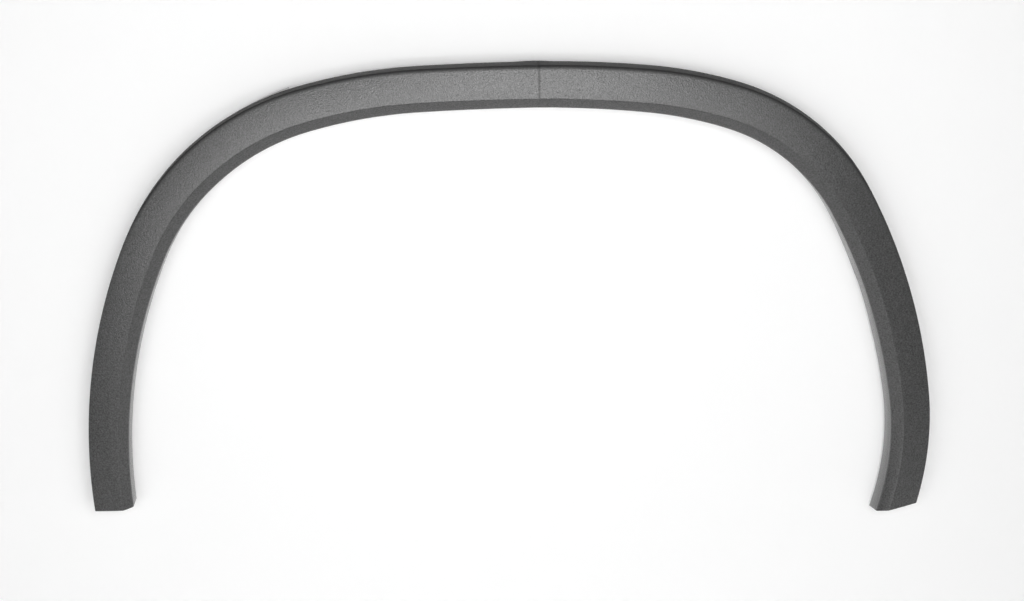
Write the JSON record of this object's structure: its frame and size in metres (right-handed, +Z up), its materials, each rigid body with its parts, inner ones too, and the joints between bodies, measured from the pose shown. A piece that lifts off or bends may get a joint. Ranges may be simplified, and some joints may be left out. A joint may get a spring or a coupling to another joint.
{
  "type": "wheel arch moulding",
  "caption": "Moulded plastic trim that frames a car's wheel opening, with a creased face, an inner return, hidden clips and edge tape.",
  "frame": {"origin": "on the axis of the locating pin behind the crown, in the plane of the body panel's outer face", "axes": "+X along the car towards the leg that curls in, +Y into the car body along the pins and clips, +Z up"},
  "size_m": [0.9055, 0.0696, 0.5062],
  "materials": {
    "moulding": "fine moulded grain, black polypropylene",
    "clip": "natural moulded nylon",
    "tape": "pale closed-cell foam"
  },
  "bodies": {
    "root": {"arch_moulding": "moulding", "retaining_clip_1": "clip", "retaining_clip_2": "clip", "retaining_clip_3": "clip", "retaining_clip_4": "clip", "retaining_clip_5": "clip", "retaining_clip_6": "clip", "retaining_clip_7": "clip", "retaining_clip_8": "clip", "retaining_clip_9": "clip", "retaining_clip_10": "clip", "edge_tape_plain_side": "tape", "edge_tape_crown": "tape", "edge_tape_curled_side": "tape"}
  },
  "joints": []
}
